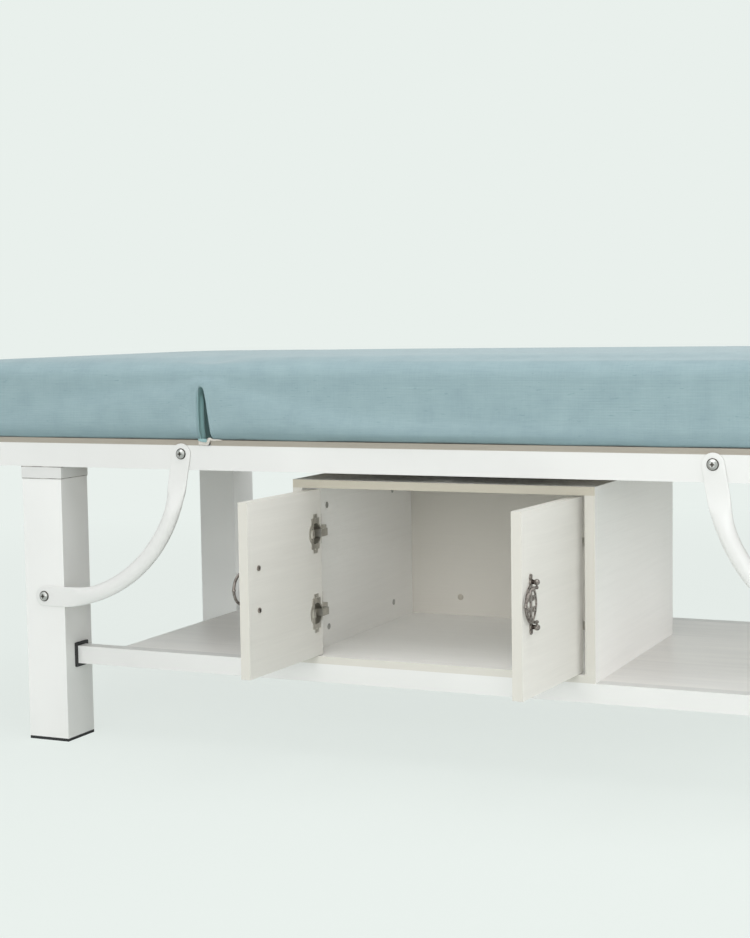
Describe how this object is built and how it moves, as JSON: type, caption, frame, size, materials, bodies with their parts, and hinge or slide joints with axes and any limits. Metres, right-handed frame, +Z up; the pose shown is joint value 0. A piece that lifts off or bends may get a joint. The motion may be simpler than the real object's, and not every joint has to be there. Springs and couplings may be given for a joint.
{
  "type": "massage table",
  "caption": "Steel-framed massage table with a thick padded top, lifting backrest, square legs with curved braces, a low shelf and a two-door cabinet underneath.",
  "frame": {"origin": "on the floor, in the middle of the four feet", "axes": "+X along the bed from the backrest end to the foot end, +Y from the cabinet doors to the back, +Z up"},
  "size_m": [1.9, 0.8688, 0.65],
  "materials": {
    "white_paint": "smooth white powder coat",
    "black_rubber": "matt black",
    "black_plastic": "matt black",
    "zinc_steel": "zinc plated",
    "shelf_laminate": "white laminate",
    "plywood": "bare plywood edge",
    "timber": "planed softwood",
    "linen": "grey-blue linen-weave cover",
    "melamine": "white embossed wood-grain melamine",
    "nickel": "nickel plated",
    "pewter": "antique pewter on zinc casting"
  },
  "bodies": {
    "frame": {"rail_front": "white_paint", "rail_back": "white_paint", "rail_head": "white_paint", "rail_foot": "white_paint", "cross_hinge": "white_paint", "cross_head": "white_paint", "cross_members": "white_paint", "leg_front_left": "white_paint", "leg_front_right": "white_paint", "leg_back_left": "white_paint", "leg_back_right": "white_paint", "leg_collars": "white_paint", "brace_front_left": "white_paint", "brace_front_right": "white_paint", "brace_back_left": "white_paint", "brace_back_right": "white_paint", "shelf_rail_front": "white_paint", "shelf_rail_back": "white_paint", "shelf_cross_bars": "white_paint", "foot_front_left": "black_rubber", "foot_front_right": "black_rubber", "foot_back_left": "black_rubber", "foot_back_right": "black_rubber", "shelf_grommets": "black_plastic", "leg_bolts": "zinc_steel", "brace_bolts": "zinc_steel", "hinge_ears": "zinc_steel", "hinge_pins": "zinc_steel", "prop_racks": "zinc_steel", "cabinet_cams": "zinc_steel", "shelf_board": "shelf_laminate", "deck_main": "plywood", "pad_main": "linen", "pad_bend": "linen", "cabinet_side_left": "melamine", "cabinet_side_right": "melamine", "cabinet_top": "melamine", "cabinet_floor": "melamine", "cabinet_back": "melamine", "hinge_arms_left": "nickel", "hinge_arms_right": "nickel"},
    "backrest": {"deck_back": "plywood", "backrest_ribs": "timber", "backrest_leaves": "zinc_steel", "pad_back": "linen", "prop_brackets": "zinc_steel", "prop_pins": "zinc_steel"},
    "prop": {"prop_arms": "zinc_steel", "prop_bar": "zinc_steel"},
    "left_door": {"door_left": "melamine", "hinge_cups_left": "nickel", "hinge_rivets_left": "nickel", "handle_screws_left": "pewter"},
    "right_door": {"door_right": "melamine", "hinge_cups_right": "nickel", "hinge_rivets_right": "nickel", "handle_screws_right": "pewter"},
    "left_pull": {"handle_left": "pewter"},
    "right_pull": {"handle_right": "pewter"}
  },
  "joints": [
    {"name": "backrest_lift", "type": "hinge", "parent": "frame", "child": "backrest", "pos_m": [-0.4, 0, 0.504], "axis": [0, 1, 0], "range_deg": [0, 60], "deforming": ["pad_bend"]},
    {"name": "prop_fold", "type": "hinge", "parent": "backrest", "child": "prop", "pos_m": [-0.63, 0, 0.504], "axis": [0, -1, 0], "range_deg": [0, 120]},
    {"name": "left_door_swing", "type": "hinge", "parent": "frame", "child": "left_door", "pos_m": [-0.22, -0.3001, 0.3065], "axis": [0, 0, -1], "range_deg": [-92.6, 7.4]},
    {"name": "right_door_swing", "type": "hinge", "parent": "frame", "child": "right_door", "pos_m": [0.22, -0.3001, 0.3065], "axis": [0, 0, 1], "range_deg": [-86.1, 13.9]},
    {"name": "left_pull_swing", "type": "hinge", "parent": "left_door", "child": "left_pull", "pos_m": [-0.24445, -0.48803, 0.3065], "axis": [0, 0, 1], "range_deg": [-190, 18]},
    {"name": "right_pull_swing", "type": "hinge", "parent": "right_door", "child": "right_pull", "pos_m": [0.22302, -0.48959, 0.3065], "axis": [0, 0, -1], "range_deg": [-207, 1]}
  ],
  "couplings": [
    {"joint": "prop_fold", "follows": "backrest_lift", "ratio": 2}
  ]
}
